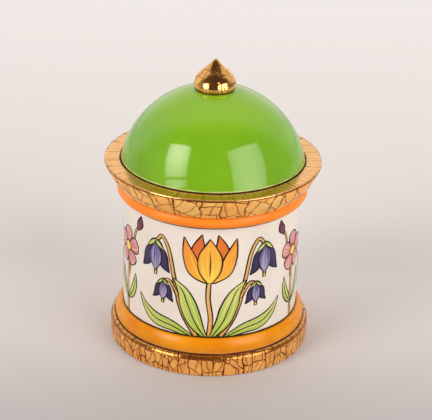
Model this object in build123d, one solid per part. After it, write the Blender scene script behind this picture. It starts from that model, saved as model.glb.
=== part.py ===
from build123d import *
from math import asin, degrees, sqrt
import os

# A lidded majolica box: a round jar with a flared rim, and a domed lid with a pointed finial.
# Every clay member is a solid turned about the Z axis. The members of the jar are luted to each
# other with slip, and so are those of the lid. The lid stands loose on the rim and lifts off.
# The origin is the centre of the face that the foot stands on. Sizes are in millimetres.

# Jar wall
wall_radius = 49.4
wall_thickness = 5.0
wall_reveal = 66.5

# Foot ring, which carries the floor on a ledge and stands out past the wall
foot_projection = 7.1
foot_height = 12.2
foot_toe_rounding = 1.0
foot_shoulder_rounding = 3.0
floor_ledge = 5.5

# Floor slab, held clear of the table by the foot ring
floor_lift = 4.2
floor_thickness = 5.0

# Lower band, a moulding that leans out from the wall to the foot
lower_band_height = 8.2
lower_band_projection = 4.4
lower_band_lip = 1.1
lower_band_crown = 1.2

# Upper band, a half-round moulding under the rim
upper_band_height = 7.2
upper_band_projection = 3.6

# Rim collar, which flares out to a flat seat and is socketed over the wall
collar_height = 13.1
collar_projection = 10.6
collar_edge = 1.0
collar_edge_rounding = 0.45
collar_flare_swell = 0.4
collar_socket_depth = 4.0
mouth_rounding = 1.2

# Domed lid
dome_rise = 40.8
dome_overhang = 1.5
dome_thickness = 5.0
dome_edge_rounding = 0.4
seat_width = 3.2
seat_relief = 0.4
ledge_height = 4.0

# Locating ring, which hangs from the lid into the mouth
ring_thickness = 3.6
ring_depth = 6.0
ring_edge_rounding = 1.0

# Finial, with a tenon through the crown of the dome
finial_base_radius = 10.0
finial_belly_radius = 11.5
finial_belly_height = 2.0
finial_ball_curve = 10.3
finial_ball_sweep = 53.0
finial_height = 16.7
finial_point_radius = 0.8
finial_point_rounding = 0.5
tenon_radius = 4.0
tenon_length = 6.5

# Clearances
slip_joint = 0.1
mouth_clearance = 0.8
tenon_clearance = 0.1
crown_flat_margin = 0.2

# Heights of the members, from the table up
floor_top = floor_lift + floor_thickness
lower_band_top = foot_height + lower_band_height
upper_band_bottom = lower_band_top + wall_reveal
collar_bottom = upper_band_bottom + upper_band_height
wall_top = collar_bottom + collar_socket_depth
seat = collar_bottom + collar_height

# Radii that several members share
socket_radius = wall_radius + slip_joint
mouth_radius = wall_radius - wall_thickness
ring_radius = mouth_radius - mouth_clearance
ring_bore = ring_radius - ring_thickness

# The dome is part of a sphere through its lower edge and its crown
dome_base = seat + seat_relief
dome_base_radius = wall_radius + dome_overhang
dome_radius = (dome_base_radius**2 + dome_rise**2) / (2 * dome_rise)
dome_centre = dome_base + dome_rise - dome_radius
dome_bore_radius = dome_radius - dome_thickness

# The crown is flat where the finial stands
crown_flat_radius = finial_base_radius + crown_flat_margin
crown = dome_centre + sqrt(dome_radius**2 - crown_flat_radius**2)
crown_hole_radius = tenon_radius + tenon_clearance


def turned(outline, rounded=()):
    """The solid that a closed outline makes about Z, drawn with radius along X and height along Y.

    Each entry of rounded is a corner of the outline and the radius that eases it.
    """
    section = make_face(outline)
    for corner, easing in rounded:
        section = fillet(section.vertices().sort_by_distance(corner)[0], easing)
    return revolve(Plane.XZ * section, Axis.Z)


def sphere_arc(radius, start_height, end_height):
    """An arc about the centre of the dome, between two heights."""
    start_angle = degrees(asin((start_height - dome_centre) / radius))
    end_angle = degrees(asin((end_height - dome_centre) / radius))
    return CenterArc((0, dome_centre), radius, start_angle, end_angle - start_angle)


# Foot ring: a plinth with a rounded shoulder, rebated inside for the floor and the wall
foot_radius = wall_radius + foot_projection
foot_bore = socket_radius - floor_ledge
foot_toe = (foot_radius, 0)
foot_shoulder = (foot_radius, foot_height)
foot_outline = Polyline(
    (foot_bore, 0),
    foot_toe,
    foot_shoulder,
    (socket_radius, foot_height),
    (socket_radius, floor_lift),
    (foot_bore, floor_lift),
    close=True,
)
foot_ring = turned(
    foot_outline,
    [(foot_toe, foot_toe_rounding), (foot_shoulder, foot_shoulder_rounding)],
)

# Floor slab: a disc that drops into the rebate of the foot ring
floor_slab = Pos(0, 0, floor_lift) * Cylinder(
    wall_radius, floor_thickness, align=(Align.CENTER, Align.CENTER, Align.MIN)
)

# Lower band: its outer face swells a little past the straight line from wall to foot
lower_band_heel = (wall_radius + lower_band_projection, foot_height)
lower_band_crest = (socket_radius + lower_band_lip, lower_band_top)
lower_band = turned(
    [
        SagittaArc(lower_band_heel, lower_band_crest, -lower_band_crown),
        Polyline(
            lower_band_crest,
            (socket_radius, lower_band_top),
            (socket_radius, foot_height),
            lower_band_heel,
        ),
    ]
)

# Jar wall: a plain cylinder from the floor slab up into the socket of the collar
jar_wall = turned(
    Polyline(
        (mouth_radius, floor_top),
        (wall_radius, floor_top),
        (wall_radius, wall_top),
        (mouth_radius, wall_top),
        close=True,
    )
)

# Upper band: a half-round bead laid against the wall
bead_bottom = (socket_radius, upper_band_bottom)
bead_top = (socket_radius, collar_bottom)
upper_band = turned([SagittaArc(bead_bottom, bead_top, -upper_band_projection), Line(bead_top, bead_bottom)])

# Rim collar: a flare that swells a little on its way up to a square edge, with the mouth through it
collar_radius = wall_radius + collar_projection
collar_heel = (wall_radius + upper_band_projection, collar_bottom)
collar_brim = (collar_radius, seat - collar_edge)
collar_lip = (collar_radius, seat)
mouth_lip = (mouth_radius, seat)
rim_collar = turned(
    [
        SagittaArc(collar_heel, collar_brim, -collar_flare_swell),
        Polyline(
            collar_brim,
            collar_lip,
            mouth_lip,
            (mouth_radius, wall_top),
            (socket_radius, wall_top),
            (socket_radius, collar_bottom),
            collar_heel,
        ),
    ],
    [(collar_lip, collar_edge_rounding), (mouth_lip, mouth_rounding)],
)

# Lid dome: a shell with a drilled crown, a relieved lower edge and a ledge for the locating ring
seat_outer = (mouth_radius + seat_width, seat)
dome_edge = (dome_base_radius, dome_base)
ledge_top = seat + ledge_height
ledge_meets_bore = (sqrt(dome_bore_radius**2 - (ledge_top - dome_centre) ** 2), ledge_top)
hole_meets_bore = (crown_hole_radius, dome_centre + sqrt(dome_bore_radius**2 - crown_hole_radius**2))
lid_dome = turned(
    [
        sphere_arc(dome_radius, dome_base, crown),
        Polyline(
            (crown_flat_radius, crown),
            (crown_hole_radius, crown),
            hole_meets_bore,
        ),
        sphere_arc(dome_bore_radius, hole_meets_bore[1], ledge_top),
        Polyline(
            ledge_meets_bore,
            (ring_bore, ledge_top),
            (ring_bore, seat),
            seat_outer,
            dome_edge,
        ),
    ],
    [(dome_edge, dome_edge_rounding)],
)

# Lid locating ring: hangs below the ledge and keeps the lid centred in the mouth
ring_toe = (ring_radius, seat - ring_depth)
lid_locating_ring = turned(
    Polyline(
        (ring_bore, seat),
        (ring_radius, seat),
        ring_toe,
        (ring_bore, seat - ring_depth),
        close=True,
    ),
    [(ring_toe, ring_edge_rounding)],
)

# Lid finial: a ball drawn up in a hollow curve to a point, on a tenon
finial_base = (finial_base_radius, crown)
finial_belly = (finial_belly_radius, crown + finial_belly_height)
finial_top = crown + finial_height
finial_point = (finial_point_radius, finial_top)
ball_centre = (finial_belly_radius - finial_ball_curve, crown + finial_belly_height)
finial_ball = CenterArc(ball_centre, finial_ball_curve, 0, finial_ball_sweep)
lid_finial = turned(
    [
        TangentArc(finial_belly, finial_base, tangent=(0, -1)),
        finial_ball,
        TangentArc(finial_ball @ 1, finial_point, tangent=finial_ball % 1),
        Polyline(
            finial_point,
            (0, finial_top),
            (0, crown - tenon_length),
            (tenon_radius, crown - tenon_length),
            (tenon_radius, crown),
            finial_base,
        ),
    ],
    [(finial_point, finial_point_rounding)],
)

members = {
    "foot_ring": foot_ring,
    "floor_slab": floor_slab,
    "lower_band": lower_band,
    "jar_wall": jar_wall,
    "upper_band": upper_band,
    "rim_collar": rim_collar,
    "lid_dome": lid_dome,
    "lid_locating_ring": lid_locating_ring,
    "lid_finial": lid_finial,
}
os.makedirs("parts", exist_ok=True)
for name, solid in members.items():
    export_step(solid, f"parts/{name}.step")
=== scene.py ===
from math import cos, pi, radians, sin
from random import Random

import bmesh
import bpy
from mathutils import Matrix, Vector


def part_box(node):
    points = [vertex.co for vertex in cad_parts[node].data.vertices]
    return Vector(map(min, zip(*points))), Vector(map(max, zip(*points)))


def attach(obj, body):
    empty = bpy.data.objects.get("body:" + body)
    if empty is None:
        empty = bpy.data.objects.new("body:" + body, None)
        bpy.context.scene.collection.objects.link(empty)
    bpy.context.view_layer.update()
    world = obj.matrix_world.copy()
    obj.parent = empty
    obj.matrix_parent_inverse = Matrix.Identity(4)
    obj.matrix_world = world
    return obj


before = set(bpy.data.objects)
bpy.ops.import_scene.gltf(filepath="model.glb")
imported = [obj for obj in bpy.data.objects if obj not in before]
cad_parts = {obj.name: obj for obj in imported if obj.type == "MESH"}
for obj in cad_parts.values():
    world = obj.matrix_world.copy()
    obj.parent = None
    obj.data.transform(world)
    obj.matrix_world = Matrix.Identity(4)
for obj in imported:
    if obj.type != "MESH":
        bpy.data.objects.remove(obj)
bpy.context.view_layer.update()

# Foot ring: the plinth that the box stands on, thrown in earthenware and luted under the wall with slip.
# Its face is gold lustre fired over a glaze that crackled as it cooled. The ring that touches the table
# is wiped to the bare clay before firing.

mm = 0.001


def linear(hex_colour):
    """The linear colour that a shader takes for an sRGB hex value."""
    parts = [int(hex_colour[i : i + 2], 16) / 255 for i in (1, 3, 5)]
    return [c / 12.92 if c <= 0.04045 else ((c + 0.055) / 1.055) ** 2.4 for c in parts] + [1]


def add(tree, kind, inputs=None, **settings):
    """Adds a node with its settings.

    Each input is a value, a socket, or a node whose first live output feeds it.
    """
    node = tree.nodes.new(kind)
    for name, value in settings.items():
        setattr(node, name, value)
    for socket, value in (inputs or {}).items():
        if isinstance(value, bpy.types.Node):
            value = next(output for output in value.outputs if output.enabled)
        if isinstance(value, bpy.types.NodeSocket):
            tree.links.new(value, node.inputs[socket])
        else:
            node.inputs[socket].default_value = value
    return node


def new_material(name):
    material = bpy.data.materials.new(name)
    material.use_nodes = True
    material.node_tree.nodes.clear()
    return material, material.node_tree


def dress(node, material):
    """Gives a CAD node its finish."""
    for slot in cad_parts[node].material_slots:
        slot.material = material


def gilt_crackle(
    name,
    girth,
    column,
    row,
    slope,
    squeeze,
    skew,
    quiet_above,
    line_at,
    breadth,
    tilt,
    flakes,
    lustre,
    mirror_above,
    ground,
    film,
    leaf,
    polish,
    lining,
    reach_of_lining,
    below,
    dull,
):
    """Gold lustre on crackled glaze: bright flakes, each at its own slight tilt, parted by brown cracks.

    The glaze cracks first across the girth, then between those cracks, then inside what is left. The two
    later generations lean by up to their skew. The layout follows a profile that runs outwards (slope 1) or
    inwards (-1), and a top face has only cracks across the girth. A brown line is drawn round at one height.
    Above a height the gold is burnished: a bright film on brown glaze, worn on a shoulder and whole on a top.
    Within the lining's reach, or below its height, the clay carries another coat and no gold.
    """
    material, tree = new_material(name)
    place = add(tree, "ShaderNodeTexCoord").outputs["Object"]
    x, y, z = add(tree, "ShaderNodeSeparateXYZ", {0: place}).outputs
    towards = add(tree, "ShaderNodeMath", {0: y, 1: -1}, operation="MULTIPLY")
    turn = add(tree, "ShaderNodeMath", {0: x, 1: towards}, operation="ARCTAN2")
    flat = add(tree, "ShaderNodeCombineXYZ", {0: x, 1: y})
    reach = add(tree, "ShaderNodeVectorMath", {0: flat}, operation="LENGTH").outputs["Value"]
    on_top = add(tree, "ShaderNodeMath", {0: z, 1: quiet_above}, operation="GREATER_THAN")

    # Where a point lies round the girth and along the profile, with the wander of a natural crack
    around = add(tree, "ShaderNodeMath", {0: turn, 1: girth}, operation="MULTIPLY")
    rise = add(tree, "ShaderNodeMath", {0: reach, 1: slope, 2: z}, operation="MULTIPLY_ADD")
    along = add(tree, "ShaderNodeMath", {0: rise, 1: squeeze}, operation="MULTIPLY")
    bend_length, wander_share = 1.3 * column, 0.8
    bend = add(
        tree,
        "ShaderNodeTexNoise",
        {"Vector": place, "Scale": 1 / bend_length, "Detail": 3, "Roughness": 0.5},
    )
    wander = add(tree, "ShaderNodeSeparateXYZ", {0: bend.outputs["Color"]}).outputs
    sway = add(
        tree,
        "ShaderNodeMath",
        {0: wander[0], 1: wander_share * column, 2: around},
        operation="MULTIPLY_ADD",
    )
    heave = add(
        tree,
        "ShaderNodeMath",
        {0: wander[1], 1: wander_share * row, 2: along},
        operation="MULTIPLY_ADD",
    )

    # Three generations of cracks, and the fine ones of a top face: how far away the nearest of each is, and
    # random picks for each strip and block between them
    strip_skew, block_skew = skew
    third_rate, fine_rate = 1.3, 2.6
    shuffle = 97 * column
    kind = "ShaderNodeTexVoronoi"
    first_at = {"W": sway, "Scale": 1 / column}
    first = add(tree, kind, first_at, voronoi_dimensions="1D", feature="DISTANCE_TO_EDGE")
    strip = add(tree, kind, first_at, voronoi_dimensions="1D")
    strip_pick = add(tree, "ShaderNodeSeparateXYZ", {0: strip.outputs["Color"]}).outputs
    slant = add(tree, "ShaderNodeMapRange", {0: strip_pick[2], 1: 0, 2: 1, 3: -strip_skew, 4: strip_skew})
    tipped = add(tree, "ShaderNodeMath", {0: sway, 1: slant, 2: heave}, operation="MULTIPLY_ADD")
    second_along = add(
        tree,
        "ShaderNodeMath",
        {0: strip_pick[0], 1: shuffle, 2: tipped},
        operation="MULTIPLY_ADD",
    )
    second_at = {"W": second_along, "Scale": 1 / row}
    second = add(tree, kind, second_at, voronoi_dimensions="1D", feature="DISTANCE_TO_EDGE")
    block = add(tree, kind, second_at, voronoi_dimensions="1D")
    block_pick = add(tree, "ShaderNodeSeparateXYZ", {0: block.outputs["Color"]}).outputs
    splay = add(tree, "ShaderNodeMapRange", {0: block_pick[1], 1: 0, 2: 1, 3: -block_skew, 4: block_skew})
    fanned = add(tree, "ShaderNodeMath", {0: heave, 1: splay, 2: sway}, operation="MULTIPLY_ADD")
    third_along = add(
        tree,
        "ShaderNodeMath",
        {0: block_pick[0], 1: shuffle, 2: fanned},
        operation="MULTIPLY_ADD",
    )
    third_at = {"W": third_along, "Scale": third_rate / column}
    third = add(tree, kind, third_at, voronoi_dimensions="1D", feature="DISTANCE_TO_EDGE")
    fine_at = {"W": sway, "Scale": fine_rate / column}
    fine = add(tree, kind, fine_at, voronoi_dimensions="1D", feature="DISTANCE_TO_EDGE")

    # Cracks up to three quarters of a millimetre wide, thinner in each generation, and one at the back where
    # the layout meets itself. The load of brown in them varies, and on a top face they are finer and closer.
    blot_size, line_half_width = 5 * mm, 0.25 * mm
    out_of_sight, slimmer = 9 * mm, 0.1 * mm
    blots = add(tree, "ShaderNodeTexNoise", {"Vector": place, "Scale": 1 / blot_size, "Detail": 2}).outputs[0]
    load = add(tree, "ShaderNodeMapRange", {0: blots, 1: 0.3, 2: 0.7, 3: 0.35, 4: 1}).outputs[0]
    off_top = add(tree, "ShaderNodeMath", {0: on_top, 1: out_of_sight}, operation="MULTIPLY")
    off_flank = add(tree, "ShaderNodeMath", {0: out_of_sight + slimmer, 1: off_top}, operation="SUBTRACT")
    thinner = add(tree, "ShaderNodeMath", {0: on_top, 1: slimmer}, operation="MULTIPLY")
    generations = []
    for cracks, spacing, share, hidden in (
        (first, column, 1, thinner),
        (second, row, 0.9, off_top),
        (third, column / third_rate, 0.67, off_top),
        (fine, column / fine_rate, 0.6, off_flank),
    ):
        away = add(tree, "ShaderNodeMath", {0: cracks, 1: spacing, 2: hidden}, operation="MULTIPLY_ADD")
        side = add(tree, "ShaderNodeMath", {0: load, 1: -share * breadth, 2: away}, operation="MULTIPLY_ADD")
        generations.append(side)
    spread = add(tree, "ShaderNodeMath", {0: turn}, operation="ABSOLUTE")
    gap = add(tree, "ShaderNodeMath", {0: pi, 1: spread}, operation="SUBTRACT")
    generations.append(add(tree, "ShaderNodeMath", {0: gap, 1: girth}, operation="MULTIPLY"))
    above_line = add(tree, "ShaderNodeMath", {0: z, 1: line_at}, operation="SUBTRACT")
    off_line = add(tree, "ShaderNodeMath", {0: above_line}, operation="ABSOLUTE")
    generations.append(add(tree, "ShaderNodeMath", {0: off_line, 1: line_half_width}, operation="SUBTRACT"))
    nearest = generations[0]
    for side in generations[1:]:
        nearest = add(tree, "ShaderNodeMath", {0: nearest, 1: side}, operation="MINIMUM")
    gold = add(
        tree,
        "ShaderNodeMapRange",
        {0: nearest, 1: -0.06 * mm, 2: 0.14 * mm},
        interpolation_type="SMOOTHSTEP",
    )

    # Colour: each flake a little paler or redder, copper beside the cracks and in worn patches, and brown in
    # the cracks
    copper, crack_brown = "#C87428", "#5A2400"
    pale, red = flakes
    flake = add(tree, "ShaderNodeMix", {0: block_pick[1], 6: linear(pale), 7: linear(red)}, data_type="RGBA")
    burnish = add(
        tree,
        "ShaderNodeMapRange",
        {0: z, 1: mirror_above - 0.6 * mm, 2: mirror_above},
        interpolation_type="SMOOTHSTEP",
    )
    rubbed = add(tree, "ShaderNodeMapRange", {0: blots, 1: 0.5, 2: 0.78, 3: 0, 4: 0.6})
    beside = add(tree, "ShaderNodeMapRange", {0: nearest, 1: 0, 2: 0.8 * mm, 3: 0.45, 4: 0})
    wear = add(tree, "ShaderNodeMath", {0: rubbed, 1: beside}, operation="MAXIMUM")
    worn = add(tree, "ShaderNodeMix", {0: wear, 6: flake.outputs[2], 7: linear(copper)}, data_type="RGBA")
    base = add(tree, "ShaderNodeMix", {0: burnish, 6: worn.outputs[2], 7: linear(ground)}, data_type="RGBA")
    gilt = add(tree, "ShaderNodeMix", {0: gold, 6: linear(crack_brown), 7: base.outputs[2]}, data_type="RGBA")

    # Relief: each flake is tilted its own way, with rounded edges
    from_strip = add(tree, "ShaderNodeMath", {0: sway, 1: strip.outputs["W"]}, operation="SUBTRACT")
    from_block = add(tree, "ShaderNodeMath", {0: second_along, 1: block.outputs["W"]}, operation="SUBTRACT")
    lean = add(tree, "ShaderNodeMapRange", {0: strip_pick[1], 1: 0, 2: 1, 3: -tilt, 4: tilt})
    nod = add(tree, "ShaderNodeMapRange", {0: block_pick[2], 1: 0, 2: 1, 3: -tilt, 4: tilt})
    pillow = add(
        tree,
        "ShaderNodeMapRange",
        {0: nearest, 1: 0, 2: 1.2 * mm, 3: 0, 4: 0.05 * mm},
        interpolation_type="SMOOTHSTEP",
    )
    leaning = add(tree, "ShaderNodeMath", {0: from_strip, 1: lean, 2: pillow}, operation="MULTIPLY_ADD")
    surface = add(tree, "ShaderNodeMath", {0: from_block, 1: nod, 2: leaning}, operation="MULTIPLY_ADD")
    bump = add(tree, "ShaderNodeBump", {"Strength": 1, "Distance": 1, "Height": surface}, name="relief")

    # The coat inside the lining's reach and below its height
    inside = add(tree, "ShaderNodeMath", {0: reach, 1: reach_of_lining}, operation="LESS_THAN")
    ragged = add(tree, "ShaderNodeMath", {0: blots, 1: 0.8 * mm, 2: z}, operation="MULTIPLY_ADD")
    under = add(tree, "ShaderNodeMath", {0: ragged, 1: below}, operation="LESS_THAN")
    lined = add(tree, "ShaderNodeMath", {0: inside, 1: under}, operation="MAXIMUM")
    coat = add(tree, "ShaderNodeMix", {0: lined, 6: gilt.outputs[2], 7: linear(lining)}, data_type="RGBA")
    unlined = add(tree, "ShaderNodeMath", {0: 1, 1: lined}, operation="SUBTRACT")
    gilded = add(tree, "ShaderNodeMath", {0: gold, 1: unlined}, operation="MULTIPLY")
    metal = add(tree, "ShaderNodeMath", {0: gilded, 1: lustre}, operation="MULTIPLY")
    filmed = add(tree, "ShaderNodeMath", {0: gilded, 1: burnish}, operation="MULTIPLY")
    worn_film, whole_film = film
    share = add(
        tree,
        "ShaderNodeMapRange",
        {0: z, 1: mirror_above + 1.1 * mm, 2: mirror_above + 1.8 * mm, 3: worn_film, 4: whole_film},
    )
    cover = add(tree, "ShaderNodeMath", {0: filmed, 1: share}, operation="MULTIPLY")
    shine = add(tree, "ShaderNodeMapRange", {0: gold, 1: 0, 2: 1, 3: 0.55, 4: polish})
    gloss = add(tree, "ShaderNodeMix", {0: lined, 2: shine, 3: dull})

    finish = {"Base Color": coat.outputs[2], "Metallic": metal, "Roughness": gloss.outputs[0], "Normal": bump}
    clay = add(tree, "ShaderNodeBsdfPrincipled", {**finish, "Specular IOR Level": 0.12})
    gold_leaf = {"Base Color": linear(leaf), "Metallic": 1, "Roughness": polish, "Normal": bump}
    burnished = add(tree, "ShaderNodeBsdfPrincipled", gold_leaf)
    shader = add(tree, "ShaderNodeMixShader", {0: cover, 1: clay, 2: burnished})
    add(tree, "ShaderNodeOutputMaterial", {"Surface": shader})
    return material


bare_clay = "#C99A72"
above_all, below_all = 1, -1  # Heights that no piece reaches
foot_gilt = gilt_crackle(
    "foot_gilt_crackle",
    girth=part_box("foot_ring")[1].x,
    column=5.8 * mm,
    row=6 * mm,
    slope=-1,
    squeeze=0.8,
    skew=(0.7, 0.8),
    quiet_above=above_all,
    line_at=below_all,
    breadth=0.32 * mm,
    tilt=0.03,
    flakes=("#F4B768", "#E69E50"),
    lustre=0.3,
    mirror_above=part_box("foot_ring")[1].z - 2.1 * mm,
    ground="#8E5018",
    film=(0.28, 0.75),
    leaf="#FFBC68",
    polish=0.14,
    lining=bare_clay,
    reach_of_lining=50 * mm,
    below=0.9 * mm,
    dull=0.8,
)
dress("foot_ring", foot_gilt)

# Floor slab: a rolled disc of earthenware that closes the jar, luted on the ledge of the foot ring.
# It is tin glazed with the inside of the jar, a warm white gloss that pools a little unevenly.


def glaze(name, body, pooled, patch, gloss, sheen=0.5):
    """Poured and fired glaze: a glossy coat over slow ripples, a little deeper in colour where it pools."""
    material, tree = new_material(name)
    place = add(tree, "ShaderNodeTexCoord").outputs["Object"]
    cloud = add(tree, "ShaderNodeTexNoise", {"Vector": place, "Scale": 1 / patch, "Detail": 3})
    pool = add(tree, "ShaderNodeMapRange", {0: cloud.outputs[0], 1: 0.36, 2: 0.66})
    coat = add(
        tree,
        "ShaderNodeMix",
        {0: pool, 6: linear(body), 7: linear(pooled)},
        data_type="RGBA",
        name="coat",
    )
    ripple_length, ripple_height = 24 * mm, 0.12 * mm
    peel_length, peel_height = 1.8 * mm, 0.004 * mm
    ripple = add(tree, "ShaderNodeTexNoise", {"Vector": place, "Scale": 1 / ripple_length, "Detail": 1})
    peel = add(tree, "ShaderNodeTexNoise", {"Vector": place, "Scale": 1 / peel_length, "Detail": 1})
    waves = add(tree, "ShaderNodeMath", {0: ripple.outputs[0], 1: ripple_height}, operation="MULTIPLY")
    surface = add(
        tree,
        "ShaderNodeMath",
        {0: peel.outputs[0], 1: peel_height, 2: waves},
        operation="MULTIPLY_ADD",
    )
    bump = add(tree, "ShaderNodeBump", {"Strength": 1, "Distance": 1, "Height": surface}, name="relief")
    dull = add(tree, "ShaderNodeMapRange", {0: cloud.outputs[0], 1: 0.3, 2: 0.7, 3: gloss, 4: gloss + 0.05})
    finish = {"Base Color": coat.outputs[2], "Roughness": dull, "Specular IOR Level": sheen, "Normal": bump}
    shader = add(tree, "ShaderNodeBsdfPrincipled", {**finish, "IOR": 1.5}, name="glaze")
    add(tree, "ShaderNodeOutputMaterial", {"Surface": shader})
    return material


white_body = "#EBE5E0"
white_glaze = glaze("white_tin_glaze", white_body, "#E5DCD4", patch=26 * mm, gloss=0.1)
dress("floor_slab", white_glaze)

# Lower band: a moulding run on the wheel and leaning out from the wall to the foot.
# It is dipped in an orange glaze that runs thin and breaks paler along its lower edge.


def roll_over(material, low, high, depth, from_axis=False):
    """Rounds a face: its relief climbs by a depth between two heights, or two distances from the axis."""
    tree = material.node_tree
    place = add(tree, "ShaderNodeTexCoord").outputs["Object"]
    x, y, z = add(tree, "ShaderNodeSeparateXYZ", {0: place}).outputs
    flat = add(tree, "ShaderNodeCombineXYZ", {0: x, 1: y})
    reach = add(tree, "ShaderNodeVectorMath", {0: flat}, operation="LENGTH").outputs["Value"]
    roll = add(
        tree,
        "ShaderNodeMapRange",
        {0: reach if from_axis else z, 1: low, 2: high, 3: 0, 4: depth},
        interpolation_type="SMOOTHSTEP",
    )
    relief = tree.nodes["relief"].inputs["Height"]
    rolled = add(tree, "ShaderNodeMath", {0: roll, 1: relief.links[0].from_socket}, operation="ADD")
    tree.links.new(rolled.outputs[0], relief)


amber_glaze = glaze("amber_orange_glaze", "#E69410", "#DB8109", patch=14 * mm, gloss=0.2, sheen=0.25)
band_low, band_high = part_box("lower_band")
roll_over(amber_glaze, 2 * band_low.z - band_high.z, band_high.z, 2 * mm)
tree = amber_glaze.node_tree
place = add(tree, "ShaderNodeTexCoord").outputs["Object"]
height = add(tree, "ShaderNodeSeparateXYZ", {0: place}).outputs[2]
thin = add(
    tree,
    "ShaderNodeMapRange",
    {0: height, 1: band_low.z + 0.6 * mm, 2: band_low.z + 1.7 * mm, 3: 0.5, 4: 0},
)
amber = tree.nodes["coat"].outputs[2]
broken = add(tree, "ShaderNodeMix", {0: thin, 6: amber, 7: linear("#F8C07C")}, data_type="RGBA")
tree.links.new(broken.outputs[2], tree.nodes["glaze"].inputs["Base Color"])
dress("lower_band", amber_glaze)

# Jar wall: the thrown cylinder of the jar, standing on the floor slab and socketed in the collar.
# It carries the same white tin glaze inside and out.

dress("jar_wall", white_glaze)

# Painting on the wall: sprays of tulips, bellflowers and rosettes in coloured glazes on the white ground.
# Each stroke is a loaded brush of colour, a fraction of a millimetre thick, inside a dark drawn line.

wall_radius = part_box("jar_wall")[1].x
ground_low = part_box("lower_band")[1].z
spray_count = 2
spray_width = 2 * pi * wall_radius / spray_count
stroke_rows = 26
stroke_columns = 6
stroke_crown = 0.02
stroke_sink = 0.05
finest_half = 0.03
line_half = 0.46
line_swells, line_swell = 3, 0.22
hand = Random(11)
paints = {}


def smooth(controls):
    """Points on a curve through the controls, closer together near its ends."""
    last = len(controls) - 1
    ends = [controls[0], *controls, controls[-1]]
    points = []
    for row in range(stroke_rows + 1):
        along = (1 - cos(pi * row / stroke_rows)) / 2 * last
        leg = min(int(along), last - 1)
        t = along - leg
        points.append(
            [
                b + t / 2 * (c - a + t * (2 * a - 5 * b + 4 * c - d + t * (3 * (b - c) + d - a)))
                for a, b, c, d in zip(*ends[leg : leg + 4])
            ]
        )
    return points


def sides_of(controls):
    """The two sides of a stroke whose controls give its middle and its half width, in mm."""
    spine = smooth(controls)
    sides = []
    for k, (x, y, half) in enumerate(spine):
        before, after = spine[max(k - 1, 0)], spine[min(k + 1, stroke_rows)]
        run = Vector((after[0] - before[0], after[1] - before[1])).normalized()
        aside = Vector((-run.y, run.x)) * max(half, finest_half)
        sides.append((Vector((x, y)) - aside, Vector((x, y)) + aside))
    return sides


def fill(paint, sides, rise):
    """Lays colour between the sides of a stroke, crowned across its width."""
    points, faces, brush = paints.setdefault(paint, ([], [], []))
    start = len(points)
    for k, (left, right) in enumerate(sides):
        for j in range(stroke_columns + 1):
            across = j / stroke_columns
            spot = left.lerp(right, across)
            points.append((spot.x, spot.y, rise + stroke_crown * (1 - (2 * across - 1) ** 2)))
            brush.append((across, k / stroke_rows))
        points += [(left.x, left.y, -stroke_sink), (right.x, right.y, -stroke_sink)]
        brush += [(0, k / stroke_rows), (1, k / stroke_rows)]
    row = stroke_columns + 3
    ring = [*range(stroke_columns + 1), stroke_columns + 2, stroke_columns + 1]
    for k in range(stroke_rows):
        here = start + k * row
        for a, b in zip(ring, ring[1:] + ring[:1]):
            faces.append((here + a, here + b, here + row + b, here + row + a))
    faces.append([start + a for a in ring])
    faces.append([start + stroke_rows * row + a for a in reversed(ring)])


def draw_round(sides, rise):
    """Draws the dark line round a stroke, swelling and thinning as a brush does."""
    points, faces, brush = paints.setdefault("line", ([], [], []))
    start = len(points)
    loop = [left for left, right in sides] + [right for left, right in reversed(sides)]
    phase = hand.uniform(0, 2 * pi)
    shoulder, ridge = rise + 0.012, rise + 0.024
    section = ((-1, -stroke_sink), (-0.75, shoulder), (0, ridge), (0.75, shoulder), (1, -stroke_sink))
    for k, spot in enumerate(loop):
        run = (loop[(k + 1) % len(loop)] - loop[k - 1]).normalized()
        aside = Vector((-run.y, run.x))
        half = line_half * (1 + line_swell * sin(2 * pi * line_swells * k / len(loop) + phase))
        for offset, height in section:
            points.append((spot.x + aside.x * half * offset, spot.y + aside.y * half * offset, height))
            brush.append(((offset + 1) / 2, k / len(loop)))
    size = len(section)
    for k in range(len(loop)):
        here, there = start + k * size, start + (k + 1) % len(loop) * size
        for a in range(size):
            b = (a + 1) % size
            faces.append((here + a, here + b, there + b, there + a))


def stroke(paint, controls, rise):
    sides = sides_of(controls)
    fill(paint, sides, rise)
    draw_round(sides, rise)


def both(controls, middle=0):
    """A stroke and its mirror image about an upright line."""
    return controls, [(2 * middle - x, y, half) for x, y, half in controls]


def leaf(controls, rise):
    """A leaf with a drawn midrib."""
    stroke("leaf", controls, rise)
    rib_half, rib_tip, last_part = 0.34, 0.12, 0.55
    rib = [(x, y, rib_half) for x, y, half in controls[:-1]]
    (xa, ya, _), (xb, yb, _) = controls[-2], controls[-1]
    rib.append((xa + last_part * (xb - xa), ya + last_part * (yb - ya), rib_tip))
    fill("line", sides_of(rib), rise + layer)


# Heights above the wall of the layers, in mm: each covers the lines of the one before it
layer = 0.036
stem_rise, leaf_rise, back_rise, side_rise, front_rise, heart_rise = (0.008 + k * layer for k in range(6))

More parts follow.
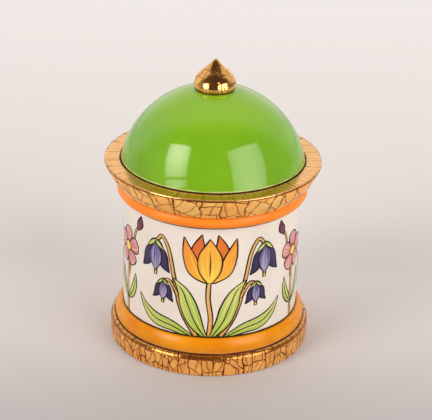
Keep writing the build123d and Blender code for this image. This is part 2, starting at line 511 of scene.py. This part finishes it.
# Tulip in the middle of the spray
stroke("stem", [(0.4, 0, 1.3), (0.9, 12, 1.25), (-0.6, 24, 1.15), (0, 36, 1.1)], stem_rise)
for controls in both([(-1.5, 0, 1.0), (-7.5, 9, 3.9), (-11.5, 19, 4.6), (-14.5, 27, 3.0), (-20, 34, 0.1)]):
    leaf(controls, leaf_rise)
for controls in both([(-2.0, 35.5, 1.2), (-6.4, 45, 4.2), (-6.2, 54, 3.4), (-4.4, 62, 0.1)]):
    stroke("tulip_back", controls, back_rise)
for controls in both([(-1.2, 34.5, 1.6), (-8.2, 40.5, 3.6), (-11.4, 49, 3.3), (-14.2, 59.5, 0.1)]):
    stroke("tulip_side", controls, side_rise)
stroke("tulip_front", [(0, 33.5, 1.4), (0, 40.5, 6.0), (0, 49.5, 6.2), (0, 59.5, 0.1)], front_rise)
fill("line", sides_of([(0, 37, 0.1), (0.2, 44, 0.36), (0, 52, 0.1)]), front_rise + layer)


def bellflower(x, y, size, rise):
    """A hanging bell of three petals under a green cap, with its clapper."""
    clapper = [(-12, 0.5), (-16.5, 0.8), (-20, 0.7)]
    stroke("heart", [(x, y + drop * size, half) for drop, half in clapper], rise - layer)
    for controls in both(
        [
            (x - 1.2 * size, y - 0.6 * size, 0.8 * size),
            (x - 4.4 * size, y - 6.5 * size, 2.9 * size),
            (x - 6.0 * size, y - 12.5 * size, 2.7 * size),
            (x - 9.4 * size, y - 17 * size, 0.1),
        ],
        middle=x,
    ):
        stroke("bell_side", controls, rise)
    front = [(0, -0.4, 1.0), (0, -6, 4.0), (0, -12, 3.8), (0, -17.5, 0.1)]
    stroke("bell_front", [(x + a * size, y + b * size, h * size) for a, b, h in front], rise + layer)
    cap = [(0.6, 1.6, 0.5), (-2.4, -0.8, 1.3), (-5.6, -3.6, 0.1)]
    for controls in both([(x + a * size, y + b * size, h * size) for a, b, h in cap], middle=x):
        stroke("leaf", controls, rise + 2 * layer)


# Bellflowers on arching stems at each side
for side in (-1, 1):
    stem = [(6.5, 0, 1.2), (15, 15, 1.15), (19.5, 33, 1.05)]
    arch = [(23, 50, 0.95), (27.6, 57.5, 0.9), (31.4, 53, 0.8)]
    stroke("stem", [(side * x, y, half) for x, y, half in stem + arch], stem_rise)
    branch = [(17.5, 24, 0.9), (22, 31.5, 0.85), (26, 31.5, 0.75)]
    stroke("stem", [(side * x, y, half) for x, y, half in branch], stem_rise)
    bellflower(side * 31.7, 53, 0.96, side_rise)
    bellflower(side * 26.6, 31, 0.66, back_rise)
    low_leaf = [(9, 0, 0.9), (20, 4.5, 3.0), (31, 6.5, 3.6), (38, 11, 2.4), (43, 18, 0.1)]
    leaf([(side * x, y, half) for x, y, half in low_leaf], leaf_rise)


def bud(x, y, lean):
    """A closed bud at the end of its stalk."""
    shape = [(0, 0, 0.6), (0.6, 3.4, 2.5), (0.85, 6.2, 1.6), (1, 9, 0.1)]
    stroke("bud", [(x + lean * across, y + up, half) for across, up, half in shape], leaf_rise)


# Rosettes beside the bellflowers: five petals round a yellow eye, with two leaves and one bud
rosette_y = 41
petal_profile = ((1.5, 1.0), (5.0, 3.7), (8.6, 4.6), (10.6, 3.4), (11.6, 0.3))
eye_profile = ((-3.1, 0.1), (-2.5, 1.9), (0, 3.1), (2.5, 1.9), (3.1, 0.1))
for side in (-1, 1):
    rosette_x = side * 57
    stroke("stem", [(rosette_x, 0, 1.2), (rosette_x - 0.8, 14, 1.1), (rosette_x, 34, 1.0)], stem_rise)
    stalk = [(1, 24, 0.7), (7.5, 50, 0.65), (11, 56, 0.6)]
    stroke("stem", [(rosette_x - side * x, y, half) for x, y, half in stalk], stem_rise)
    bud(rosette_x - side * 10.6, 55, -side * 3.4)
    blade = [(0, 9, 0.6), (-5, 14, 2.5), (-8, 21, 1.9), (-8.6, 27, 0.1)]
    for controls in both([(rosette_x + x, y, half) for x, y, half in blade], middle=rosette_x):
        leaf(controls, leaf_rise)
    for petal in range(5):
        out = Vector((sin(2 * pi * petal / 5), cos(2 * pi * petal / 5)))
        controls = [(rosette_x + out.x * r, rosette_y + out.y * r, half) for r, half in petal_profile]
        stroke("rosette", controls, side_rise if petal % 2 else back_rise)
    stroke("heart", [(rosette_x + x, rosette_y, half) for x, half in eye_profile], heart_rise)

# A tall bud between one spray and the next
end_x = spray_width / mm / 2
stroke("stem", [(end_x, 0, 1.2), (end_x + 0.7, 20, 1.1), (end_x, 43, 0.9)], stem_rise)
bud(end_x, 42, 0.3)
blade = [(end_x, 8, 0.6), (end_x + 2.6, 16, 1.9), (end_x + 4, 25, 1.5), (end_x + 5, 33, 0.1)]
for controls in both(blade, middle=end_x):
    leaf(controls, leaf_rise)


def inputs_of(tree, sockets):
    """Gives a geometry tree its named inputs, and returns the identifier of each."""
    tree.interface.new_socket("Geometry", in_out="INPUT", socket_type="NodeSocketGeometry")
    identifiers = {}
    for name, kind in sockets:
        socket = tree.interface.new_socket(name, in_out="INPUT", socket_type="NodeSocket" + kind)
        identifiers[name] = socket.identifier
    tree.interface.new_socket("Geometry", in_out="OUTPUT", socket_type="NodeSocketGeometry")
    return identifiers


# Wraps the flat design round the wall: repeats it along its width, lets the hand waver, and rolls it up
wrap = bpy.data.node_groups.new("wrap_on_wall", "GeometryNodeTree")
wrap_inputs = inputs_of(
    wrap,
    [
        ("Wall radius", "Float"),
        ("Sprays", "Int"),
        ("Spray width", "Float"),
        ("Waver", "Float"),
        ("Waver length", "Float"),
        ("Seed", "Float"),
        ("Paint", "Material"),
    ],
)
given = add(wrap, "NodeGroupInput").outputs
step = add(wrap, "ShaderNodeCombineXYZ", {0: given["Spray width"]})
row = add(wrap, "GeometryNodeMeshLine", {"Count": given["Sprays"], "Offset": step})
copies = add(wrap, "GeometryNodeInstanceOnPoints", {"Points": row, "Instance": given["Geometry"]})
sprays = add(wrap, "GeometryNodeRealizeInstances", {0: copies})
spot = add(wrap, "GeometryNodeInputPosition")
pace = add(wrap, "ShaderNodeMath", {0: 1, 1: given["Waver length"]}, operation="DIVIDE")
noise = add(
    wrap,
    "ShaderNodeTexNoise",
    {"Vector": spot, "W": given["Seed"], "Scale": pace},
    noise_dimensions="4D",
)
swing = add(wrap, "ShaderNodeVectorMath", {0: noise.outputs["Color"], 1: (0.5, 0.5, 0)}, operation="SUBTRACT")
flat_swing = add(wrap, "ShaderNodeVectorMath", {0: swing, 1: (1, 1, 0)}, operation="MULTIPLY")
waver = add(wrap, "ShaderNodeVectorMath", {0: flat_swing, "Scale": given["Waver"]}, operation="SCALE")
drawn = add(wrap, "ShaderNodeVectorMath", {0: spot, 1: waver}, operation="ADD")
across, up, proud = add(wrap, "ShaderNodeSeparateXYZ", {0: drawn}).outputs
turn = add(wrap, "ShaderNodeMath", {0: across, 1: given["Wall radius"]}, operation="DIVIDE")
radius = add(wrap, "ShaderNodeMath", {0: proud, 1: given["Wall radius"]}, operation="ADD")
sine = add(wrap, "ShaderNodeMath", {0: turn}, operation="SINE")
cosine = add(wrap, "ShaderNodeMath", {0: turn}, operation="COSINE")
rightwards = add(wrap, "ShaderNodeMath", {0: radius, 1: sine}, operation="MULTIPLY")
inwards = add(wrap, "ShaderNodeMath", {0: radius, 1: cosine}, operation="MULTIPLY")
backwards = add(wrap, "ShaderNodeMath", {0: inwards, 1: -1}, operation="MULTIPLY")
rolled = add(wrap, "ShaderNodeCombineXYZ", {0: rightwards, 1: backwards, 2: up})
placed = add(wrap, "GeometryNodeSetPosition", {0: sprays, "Position": rolled})
soft = add(wrap, "GeometryNodeSetShadeSmooth", {0: placed})
painted = add(wrap, "GeometryNodeSetMaterial", {0: soft, "Material": given["Paint"]})
add(wrap, "NodeGroupOutput", {0: painted})


def made_by(name, mesh, tree, settings):
    """A piece whose plain mesh is what a geometry tree makes."""
    piece = bpy.data.objects.new(name, mesh)
    bpy.context.scene.collection.objects.link(piece)
    modifier = piece.modifiers.new("tree", "NODES")
    modifier.node_group = tree
    for identifier, value in settings.items():
        modifier[identifier] = value
    depsgraph = bpy.context.evaluated_depsgraph_get()
    result = piece.evaluated_get(depsgraph)
    solid = bpy.data.meshes.new_from_object(result, preserve_all_data_layers=True, depsgraph=depsgraph)
    piece.modifiers.clear()
    piece.data = solid
    return piece


def brushed_glaze(name, root, tip, pooled, gloss=0.13, sheen=0.5):
    """Coloured glaze laid on with a loaded brush.

    It runs from its colour at the root to that at the tip in streaks, and pools at its edges.
    """
    material, tree = new_material(name)
    place = add(tree, "ShaderNodeTexCoord").outputs["Object"]
    brush = add(tree, "ShaderNodeUVMap", uv_map="brush")
    across, along, _ = add(tree, "ShaderNodeSeparateXYZ", {0: brush}).outputs
    # Bristle streaks about a millimetre apart on a stroke some 9 mm wide, and other streaks in each stroke
    bristles = 9
    stray = (40, 40, 25)
    hairs = add(tree, "ShaderNodeMath", {0: across, 1: bristles}, operation="MULTIPLY")
    varied = add(tree, "ShaderNodeVectorMath", {0: place, 1: stray}, operation="DOT_PRODUCT")
    laid = add(tree, "ShaderNodeCombineXYZ", {0: hairs, 1: along, 2: varied.outputs["Value"]})
    streak = add(tree, "ShaderNodeTexNoise", {"Vector": laid, "Scale": 1.3, "Detail": 3})
    lag = add(tree, "ShaderNodeMapRange", {0: streak.outputs[0], 1: 0.25, 2: 0.75, 3: -0.45, 4: 0.45})
    run = add(tree, "ShaderNodeMath", {0: along, 1: lag}, operation="ADD")
    blend = add(tree, "ShaderNodeMapRange", {0: run, 1: 0.1, 2: 0.9}, interpolation_type="SMOOTHSTEP")
    colour = add(tree, "ShaderNodeMix", {0: blend, 6: linear(root), 7: linear(tip)}, data_type="RGBA")
    off = add(tree, "ShaderNodeMath", {0: across, 1: 2, 2: -1}, operation="MULTIPLY_ADD")
    rim = add(tree, "ShaderNodeMath", {0: off, 1: 4}, operation="POWER")
    edge = add(tree, "ShaderNodeMath", {0: rim, 1: 0.6}, operation="MULTIPLY")
    coat = add(tree, "ShaderNodeMix", {0: edge, 6: colour.outputs[2], 7: linear(pooled)}, data_type="RGBA")
    ridge = add(tree, "ShaderNodeMath", {0: streak.outputs[0], 1: 0.03 * mm}, operation="MULTIPLY")
    bump = add(tree, "ShaderNodeBump", {"Strength": 0.6, "Distance": 1, "Height": ridge})
    finish = {"Base Color": coat.outputs[2], "Roughness": gloss, "Specular IOR Level": sheen, "Normal": bump}
    shader = add(tree, "ShaderNodeBsdfPrincipled", {**finish, "IOR": 1.5})
    add(tree, "ShaderNodeOutputMaterial", {"Surface": shader})
    return material


paint_colours = {
    "stem": ("#D9A058", "#E8B872", "#B87E3A"),
    "leaf": ("#A5C044", "#DADE8A", "#86A636"),
    "tulip_back": ("#E58A2C", "#D96A2A", "#B9541C"),
    "tulip_side": ("#F4C23E", "#EE8C33", "#D9741F"),
    "tulip_front": ("#F6DA55", "#F2A93B", "#E39A2B"),
    "bell_side": ("#3A2F63", "#2B2450", "#1E1A3A"),
    "bell_front": ("#4C4280", "#AFA6CF", "#3B3266"),
    "rosette": ("#C9626F", "#E8B4AE", "#B75560"),
    "heart": ("#F3C93A", "#F6D95C", "#D9A02A"),
    "bud": ("#7A2B4C", "#4E1B38", "#4A1834"),
    "line": ("#20150C", "#1A110A", "#170F09", 0.4, 0.2),
}
for paint, (points, faces, brush) in paints.items():
    flat_mesh = bpy.data.meshes.new("flat_" + paint)
    flat_mesh.from_pydata([(px * mm, ground_low + py * mm, pz * mm) for px, py, pz in points], [], faces)
    shape = bmesh.new()
    shape.from_mesh(flat_mesh)
    bmesh.ops.recalc_face_normals(shape, faces=shape.faces)
    shape.to_mesh(flat_mesh)
    shape.free()
    strokes = flat_mesh.uv_layers.new(name="brush")
    for corner in flat_mesh.loops:
        strokes.data[corner.index].uv = brush[corner.vertex_index]
    settings = {
        "Wall radius": wall_radius,
        "Sprays": spray_count,
        "Spray width": spray_width,
        "Waver": 1.1 * mm,
        "Waver length": 13 * mm,
        "Seed": 4.0,
        "Paint": brushed_glaze("brushed_" + paint + "_glaze", *paint_colours[paint]),
    }
    piece = made_by(
        "painted_" + paint, flat_mesh, wrap, {wrap_inputs[name]: value for name, value in settings.items()}
    )
    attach(piece, "jar")

# Upper band: a half-round bead of clay pressed on under the rim while the jar is still damp.
# It carries a clear orange glaze, brighter in colour than the lower band's and less glossy.

orange_glaze = glaze("orange_glaze", "#FF9129", "#F8861E", patch=14 * mm, gloss=0.34, sheen=0.3)
dress("upper_band", orange_glaze)

# Rim collar: the flared rim of the jar, with a flat seat for the lid and the mouth through it.
# It is gilt like the foot, and the mouth below the seat carries the white glaze of the inside.

collar_gilt = gilt_crackle(
    "collar_gilt_crackle",
    girth=55 * mm,
    column=11 * mm,
    row=12.5 * mm,
    slope=1,
    squeeze=0.73,
    skew=(0.7, 0.8),
    quiet_above=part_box("rim_collar")[1].z - 0.3 * mm,
    line_at=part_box("rim_collar")[1].z - 0.6 * mm,
    breadth=0.34 * mm,
    tilt=0.02,
    flakes=("#FFCB74", "#FFB25A"),
    lustre=0.12,
    mirror_above=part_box("rim_collar")[1].z - 0.3 * mm,
    ground="#B86A2A",
    film=(0.68, 0.68),
    leaf="#FFC880",
    polish=0.17,
    lining=white_body,
    reach_of_lining=45.2 * mm,
    below=0,
    dull=0.12,
)
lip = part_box("rim_collar")[1].x
roll_over(collar_gilt, lip - 1.4 * mm, lip, -0.6 * mm, from_axis=True)
dress("rim_collar", collar_gilt)

# Lid dome: a thrown shell in a deep yellow-green glaze, which runs thin and pale at its lower edge; the pale
# line there also paints in the highlight that the rounded rim catches.
# Inside it is white. It stands loose on the collar, with a dark gap under the edge, whose shade is also
# painted dark brown on the underside of the edge.

dome_low, dome_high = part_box("lid_dome")
green_glaze = glaze("green_glaze", "#79B222", "#6EA61B", patch=30 * mm, gloss=0.06)
tree = green_glaze.node_tree
place = add(tree, "ShaderNodeTexCoord").outputs["Object"]
height = add(tree, "ShaderNodeSeparateXYZ", {0: place}).outputs[2]
edge_relief = 0.4 * mm
dome_edge = dome_low.z + edge_relief
run_off = add(
    tree,
    "ShaderNodeMapRange",
    {0: height, 1: dome_edge + 24 * mm, 2: dome_edge + 34 * mm, 3: 0, 4: 0.7},
)
green = tree.nodes["coat"].outputs[2]
graded = add(tree, "ShaderNodeMix", {0: run_off, 6: green, 7: linear("#89B924")}, data_type="RGBA")
drips = add(tree, "ShaderNodeTexNoise", {"Vector": place, "Scale": 1 / (7 * mm), "Detail": 2})
uneven = add(tree, "ShaderNodeMath", {0: drips.outputs[0], 1: 1.4 * mm, 2: height}, operation="MULTIPLY_ADD")
# The pale line at the lower edge is partly glaze running thin and partly a painted highlight of the rounded
# rim.
thin = add(
    tree,
    "ShaderNodeMapRange",
    {0: uneven, 1: dome_edge + 1.0 * mm, 2: dome_edge + 1.8 * mm, 3: 0.65, 4: 0},
)
thin_edge_and_highlight = add(tree, "ShaderNodeMix", {0: thin, 6: graded.outputs[2], 7: linear("#E4E6A6")}, data_type="RGBA")
dome_centre = (0, 0, 96.25 * mm)
shell_middle = 49.65 * mm
span = add(tree, "ShaderNodeVectorMath", {0: place, 1: dome_centre}, operation="DISTANCE").outputs["Value"]
within = add(tree, "ShaderNodeMath", {0: span, 1: shell_middle}, operation="LESS_THAN")
lined = add(tree, "ShaderNodeMix", {0: within, 6: thin_edge_and_highlight.outputs[2], 7: linear(white_body)}, data_type="RGBA")
# Painted shade: the underside of the edge is coloured dark brown, standing in for the shadow in the gap over
# the seat.
under = add(tree, "ShaderNodeMath", {0: height, 1: dome_edge + 0.1 * mm}, operation="LESS_THAN")
shell = add(tree, "ShaderNodeMix", {0: under, 6: lined.outputs[2], 7: linear("#45361C")}, data_type="RGBA")
tree.links.new(shell.outputs[2], tree.nodes["glaze"].inputs["Base Color"])
dress("lid_dome", green_glaze)

# Lid locating ring: a plain ring of clay luted under the dome, which drops into the mouth of the jar.
# It is glazed white with the inside of the lid.

dress("lid_locating_ring", white_glaze)

# Lid finial: a thrown knob drawn up to a point, fixed through the crown of the dome by its tenon.
# It is gilt, and its crackle closes in towards the tip.

finial_gilt = gilt_crackle(
    "finial_gilt_crackle",
    girth=9 * mm,
    column=6.4 * mm,
    row=6.5 * mm,
    slope=-1,
    squeeze=0.72,
    skew=(0.1, 0.2),
    quiet_above=above_all,
    line_at=below_all,
    breadth=0.2 * mm,
    tilt=0.035,
    flakes=("#F4B768", "#E69E50"),
    lustre=0.3,
    mirror_above=0,
    ground="#8E4404",
    film=(0.88, 0.88),
    leaf="#FFC574",
    polish=0.12,
    lining=bare_clay,
    reach_of_lining=0,
    below=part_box("lid_dome")[1].z - 0.2 * mm,
    dull=0.8,
)
finial_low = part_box("lid_dome")[1].z
roll_over(finial_gilt, finial_low + 2.5 * mm, finial_low + 10 * mm, -1.3 * mm)
dress("lid_finial", finial_gilt)

# Brown lines: thin raised rings of dark glaze that follow the joints between the members. Those at the bands
# and over the foot are drawn in brown with a fine brush on the wheel, to close each glaze off from its
# neighbour. The olive-brown ring on the seat is painted shadow under the dome's edge.

ring_line = bpy.data.node_groups.new("drawn_ring", "GeometryNodeTree")
ring_inputs = inputs_of(
    ring_line,
    [
        ("Radius", "Float"),
        ("Height", "Float"),
        ("Half depth", "Float"),
        ("Half breadth", "Float"),
        ("Waver", "Float"),
        ("Unevenness", "Float"),
        ("Seed", "Float"),
        ("Paint", "Material"),
    ],
)
given = add(ring_line, "NodeGroupInput").outputs
path = add(ring_line, "GeometryNodeCurvePrimitiveCircle", {"Resolution": 240, "Radius": given["Radius"]})
spot = add(ring_line, "GeometryNodeInputPosition")
noise = add(
    ring_line,
    "ShaderNodeTexNoise",
    {"Vector": spot, "W": given["Seed"], "Scale": 1 / (9 * mm)},
    noise_dimensions="4D",
)
swing = add(ring_line, "ShaderNodeMath", {0: noise.outputs[0], 1: 0.5}, operation="SUBTRACT")
waver = add(
    ring_line,
    "ShaderNodeMath",
    {0: swing, 1: given["Waver"], 2: given["Height"]},
    operation="MULTIPLY_ADD",
)
lift = add(ring_line, "ShaderNodeCombineXYZ", {2: waver})
drawn = add(ring_line, "GeometryNodeSetPosition", {0: path, "Offset": lift})
brush_tip = add(ring_line, "GeometryNodeCurvePrimitiveCircle", {"Resolution": 8, "Radius": 1})
section = add(ring_line, "ShaderNodeCombineXYZ", {0: given["Half depth"], 1: given["Half breadth"], 2: 1})
flat_tip = add(ring_line, "GeometryNodeTransform", {0: brush_tip, "Scale": section})
least = add(ring_line, "ShaderNodeMath", {0: 1, 1: given["Unevenness"]}, operation="SUBTRACT")
most = add(ring_line, "ShaderNodeMath", {0: 1, 1: given["Unevenness"]}, operation="ADD")
load = add(ring_line, "ShaderNodeMapRange", {0: noise.outputs[0], 1: 0.25, 2: 0.75, 3: least, 4: most})
line = add(ring_line, "GeometryNodeCurveToMesh", {0: drawn, "Profile Curve": flat_tip, "Scale": load})
whole = add(ring_line, "GeometryNodeRealizeInstances", {0: line})
soft = add(ring_line, "GeometryNodeSetShadeSmooth", {0: whole})
painted = add(ring_line, "GeometryNodeSetMaterial", {0: soft, "Material": given["Paint"]})
add(ring_line, "NodeGroupOutput", {0: painted})

brown_line = glaze("iron_brown_line", "#2C1A08", "#1F1205", patch=8 * mm, gloss=0.4, sheen=0.2)
rust_line = glaze("rust_brown_line", "#5E300A", "#4A2406", patch=8 * mm, gloss=0.4, sheen=0.2)
seat_shadow_paint = glaze("painted_seat_shadow_glaze", "#4A3A10", "#2E2408", patch=5 * mm, gloss=0.5, sheen=0.1)
wall_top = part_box("upper_band")[0].z
foot_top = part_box("lower_band")[0].z
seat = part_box("rim_collar")[1].z
crown = dome_high.z
# Each row: name, body, slot and paint; radius and height; half depth, half breadth, waver and unevenness
ring_rows = [
    (
        ("line_under_upper_band", "jar", "white_glaze", brown_line),
        (wall_radius, wall_top - 0.3 * mm),
        (0.14 * mm, 0.6 * mm, 0.5 * mm, 0.25),
    ),
    (
        ("line_over_lower_band", "jar", "white_glaze", brown_line),
        (wall_radius + 0.1 * mm, ground_low + 0.35 * mm),
        (0.14 * mm, 0.55 * mm, 0.5 * mm, 0.25),
    ),
    (
        ("line_over_foot", "jar", "gilt_crackle", rust_line),
        (53.9 * mm, foot_top + 0.2 * mm),
        (0.6 * mm, 0.5 * mm, 0.5 * mm, 0.25),
    ),
    # A dark ring round the foot of the finial, where it meets the dome.
    (
        ("line_round_finial", "lid", "gilt_crackle", rust_line),
        (10.4 * mm, crown),
        (0.6 * mm, 0.3 * mm, 0.5 * mm, 0.25),
    ),
    # Painted shadow: an olive-brown ring on the seat just outside the dome's edge, standing in for the shade
    # of the gap under the lid.
    (
        ("painted_shadow_on_seat", "jar", "gilt_crackle", seat_shadow_paint),
        (51.2 * mm, seat),
        (0.5 * mm, 0.1 * mm, 0.04 * mm, 0.7),
    ),
]
for seed, (line_named, line_at, brush_load) in enumerate(ring_rows):
    name, body, slot, paint = line_named
    radius, height = line_at
    depth, breadth, waver, uneven = brush_load
    settings = {
        "Radius": radius,
        "Height": height,
        "Half depth": depth,
        "Half breadth": breadth,
        "Waver": waver,
        "Unevenness": uneven,
        "Seed": float(seed),
        "Paint": paint,
    }
    piece = made_by(
        name,
        bpy.data.meshes.new(name),
        ring_line,
        {ring_inputs[label]: value for label, value in settings.items()},
    )
    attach(piece, body)

# Studio: a seamless sheet of pale paper, its colour painted darker in front and lighter towards the back as
# painted falloff of light, and glowing more towards the back as painted light; two softboxes stand in front.
# The room is dark behind the camera, with a bright wall at the back and dimmer ones at the sides.
# None of it is part of the box.

floor_mesh = bpy.data.meshes.new("floor")
far = 5
corners = [(-far, -far, 0), (far, -far, 0), (far, far, 0), (-far, far, 0)]
floor_mesh.from_pydata(corners, [], [(0, 1, 2, 3)])
floor = bpy.data.objects.new("floor", floor_mesh)
bpy.context.scene.collection.objects.link(floor)
paper, tree = new_material("paper_with_painted_light")
place = add(tree, "ShaderNodeTexCoord").outputs["Object"]
depth = add(tree, "ShaderNodeSeparateXYZ", {0: place}).outputs[1]
# Painted light: the paper's colour darkens towards the front, is held level in the middle where the box's
# shade falls, and lightens behind, and the paper glows more the further back it lies, in place of light that
# falls off towards the front.
fade = add(tree, "ShaderNodeMapRange", {0: depth, 1: -0.1, 2: 0.62})
painted_front_shade = add(tree, "ShaderNodeMapRange", {0: depth, 1: -0.11, 2: 0.06})
painted_back_light = add(tree, "ShaderNodeMapRange", {0: depth, 1: 0.14, 2: 0.62})
front, middle, back = linear("#B4B3B8"), linear("#DCD8DA"), linear("#EEEDF0")
table = add(tree, "ShaderNodeMix", {0: painted_front_shade, 6: front, 7: middle}, data_type="RGBA")
sheet = add(tree, "ShaderNodeMix", {0: painted_back_light, 6: table.outputs[2], 7: back}, data_type="RGBA")
painted_glow = add(tree, "ShaderNodeMath", {0: fade, 1: 0.225}, operation="MULTIPLY")
painted_backdrop_glow = {"Emission Color": linear("#FFF8F5"), "Emission Strength": painted_glow}
finish = {"Base Color": sheet.outputs[2], "Roughness": 0.75, **painted_backdrop_glow}
shader = add(tree, "ShaderNodeBsdfPrincipled", finish)
add(tree, "ShaderNodeOutputMaterial", {"Surface": shader})
floor_mesh.materials.append(paper)

# Each row: name; azimuth, elevation and roll in degrees; distance, width and height in metres; radiance; the
# share of it at the foot; and how far up a bar crosses the cloth (below 0: none)
aim = Vector((0, 0, 0.11))
softboxes = [
    ("left_softbox", -49.6, 24.5, 18, 1.3, 0.66, 1.1, 8.8, 0.5, 0.2),
    ("right_softbox", 48.8, 24, -8, 1.3, 1.06, 1.2, 4.5, 1, -1),
]
for name, azimuth, elevation, roll, distance, width, height, radiance, low_share, bar in softboxes:
    lamp = bpy.data.lights.new(name, "AREA")
    lamp.shape = "RECTANGLE"
    lamp.size, lamp.size_y = width, height
    lamp.energy = radiance * width * height * pi
    lamp.color = linear("#FFF6EA")[:3]
    # The cloth is brightest before its bulb, dims to its sides and foot, and may have a bar across it
    lamp.use_nodes = True
    tree = lamp.node_tree
    tree.nodes.clear()
    cloth = add(tree, "ShaderNodeNewGeometry").outputs["Parametric"]
    along, up, _ = add(tree, "ShaderNodeSeparateXYZ", {0: cloth}).outputs
    off = add(tree, "ShaderNodeMath", {0: along, 1: 0.5}, operation="SUBTRACT")
    squared = add(tree, "ShaderNodeMath", {0: off, 1: off}, operation="MULTIPLY")
    bulb = add(tree, "ShaderNodeMath", {0: squared, 1: -2, 2: 1}, operation="MULTIPLY_ADD")
    foot_fall = add(tree, "ShaderNodeMapRange", {0: up, 1: 0.22, 2: 0.68, 3: low_share, 4: 1})
    fall = add(tree, "ShaderNodeMath", {0: foot_fall, 1: bulb}, operation="MULTIPLY")
    crossed = add(tree, "ShaderNodeMath", {0: up, 1: bar, 2: 0.03}, operation="COMPARE")
    clear = add(tree, "ShaderNodeMath", {0: 1, 1: crossed}, operation="SUBTRACT")
    shown = add(tree, "ShaderNodeMath", {0: fall, 1: clear}, operation="MULTIPLY")
    add(tree, "ShaderNodeOutputLight", {0: add(tree, "ShaderNodeEmission", {"Strength": shown})})
    a, e = radians(azimuth), radians(elevation)
    way = Vector((sin(a) * cos(e), -cos(a) * cos(e), sin(e)))
    softbox = bpy.data.objects.new(name, lamp)
    facing = way.to_track_quat("Z", "Y").to_matrix().to_4x4()
    rolled = Matrix.Rotation(radians(roll), 4, "Z")
    softbox.matrix_world = Matrix.Translation(aim + way * distance) @ facing @ rolled
    bpy.context.scene.collection.objects.link(softbox)

room = bpy.data.worlds.new("room")
bpy.context.scene.world = room
room.use_nodes = True
tree = room.node_tree
tree.nodes.clear()
way = add(tree, "ShaderNodeSeparateXYZ", {0: add(tree, "ShaderNodeTexCoord").outputs["Generated"]}).outputs
askew = add(tree, "ShaderNodeMath", {0: way[0], 1: -0.06, 2: way[1]}, operation="MULTIPLY_ADD")
slope = add(tree, "ShaderNodeMath", {0: way[2], 1: 0.5, 2: askew}, operation="MULTIPLY_ADD")
# Each row: the direction that fades a wall in, where the fade starts and ends, and the light there
walls = [
    (slope, 0.32, 0.66, 0.05, 0.82),
    (way[1], 0.6, 1, 0, 0.36),
    (way[0], -0.95, -0.6, 0.38, 0),
    (way[0], 0.6, 0.95, 0, 0.22),
]
level = 0
for direction, start, end, start_light, end_light in walls:
    wall = add(
        tree,
        "ShaderNodeMapRange",
        {0: direction, 1: start, 2: end, 3: start_light, 4: end_light},
        interpolation_type="SMOOTHSTEP",
    )
    level = add(tree, "ShaderNodeMath", {0: level, 1: wall}, operation="ADD")
shell = add(tree, "ShaderNodeBackground", {"Color": linear("#FFFAF5"), "Strength": level})
add(tree, "ShaderNodeOutputWorld", {"Surface": shell})

# The camera stands at the photograph's viewing angle, about 25 degrees above the table
lens = bpy.data.cameras.new("camera")
lens.lens = 133.75
lens.sensor_width = 36
camera = bpy.data.objects.new("camera", lens)
stand = Vector((0.00239, -0.81742, 0.45155))
tilt, roll = radians(65.25), radians(1.58)
turned = Matrix.Rotation(tilt, 4, "X") @ Matrix.Rotation(roll, 4, "Z")
camera.matrix_world = Matrix.Translation(stand) @ turned
bpy.context.scene.collection.objects.link(camera)
bpy.context.scene.camera = camera
bpy.context.scene.view_settings.view_transform = "Standard"
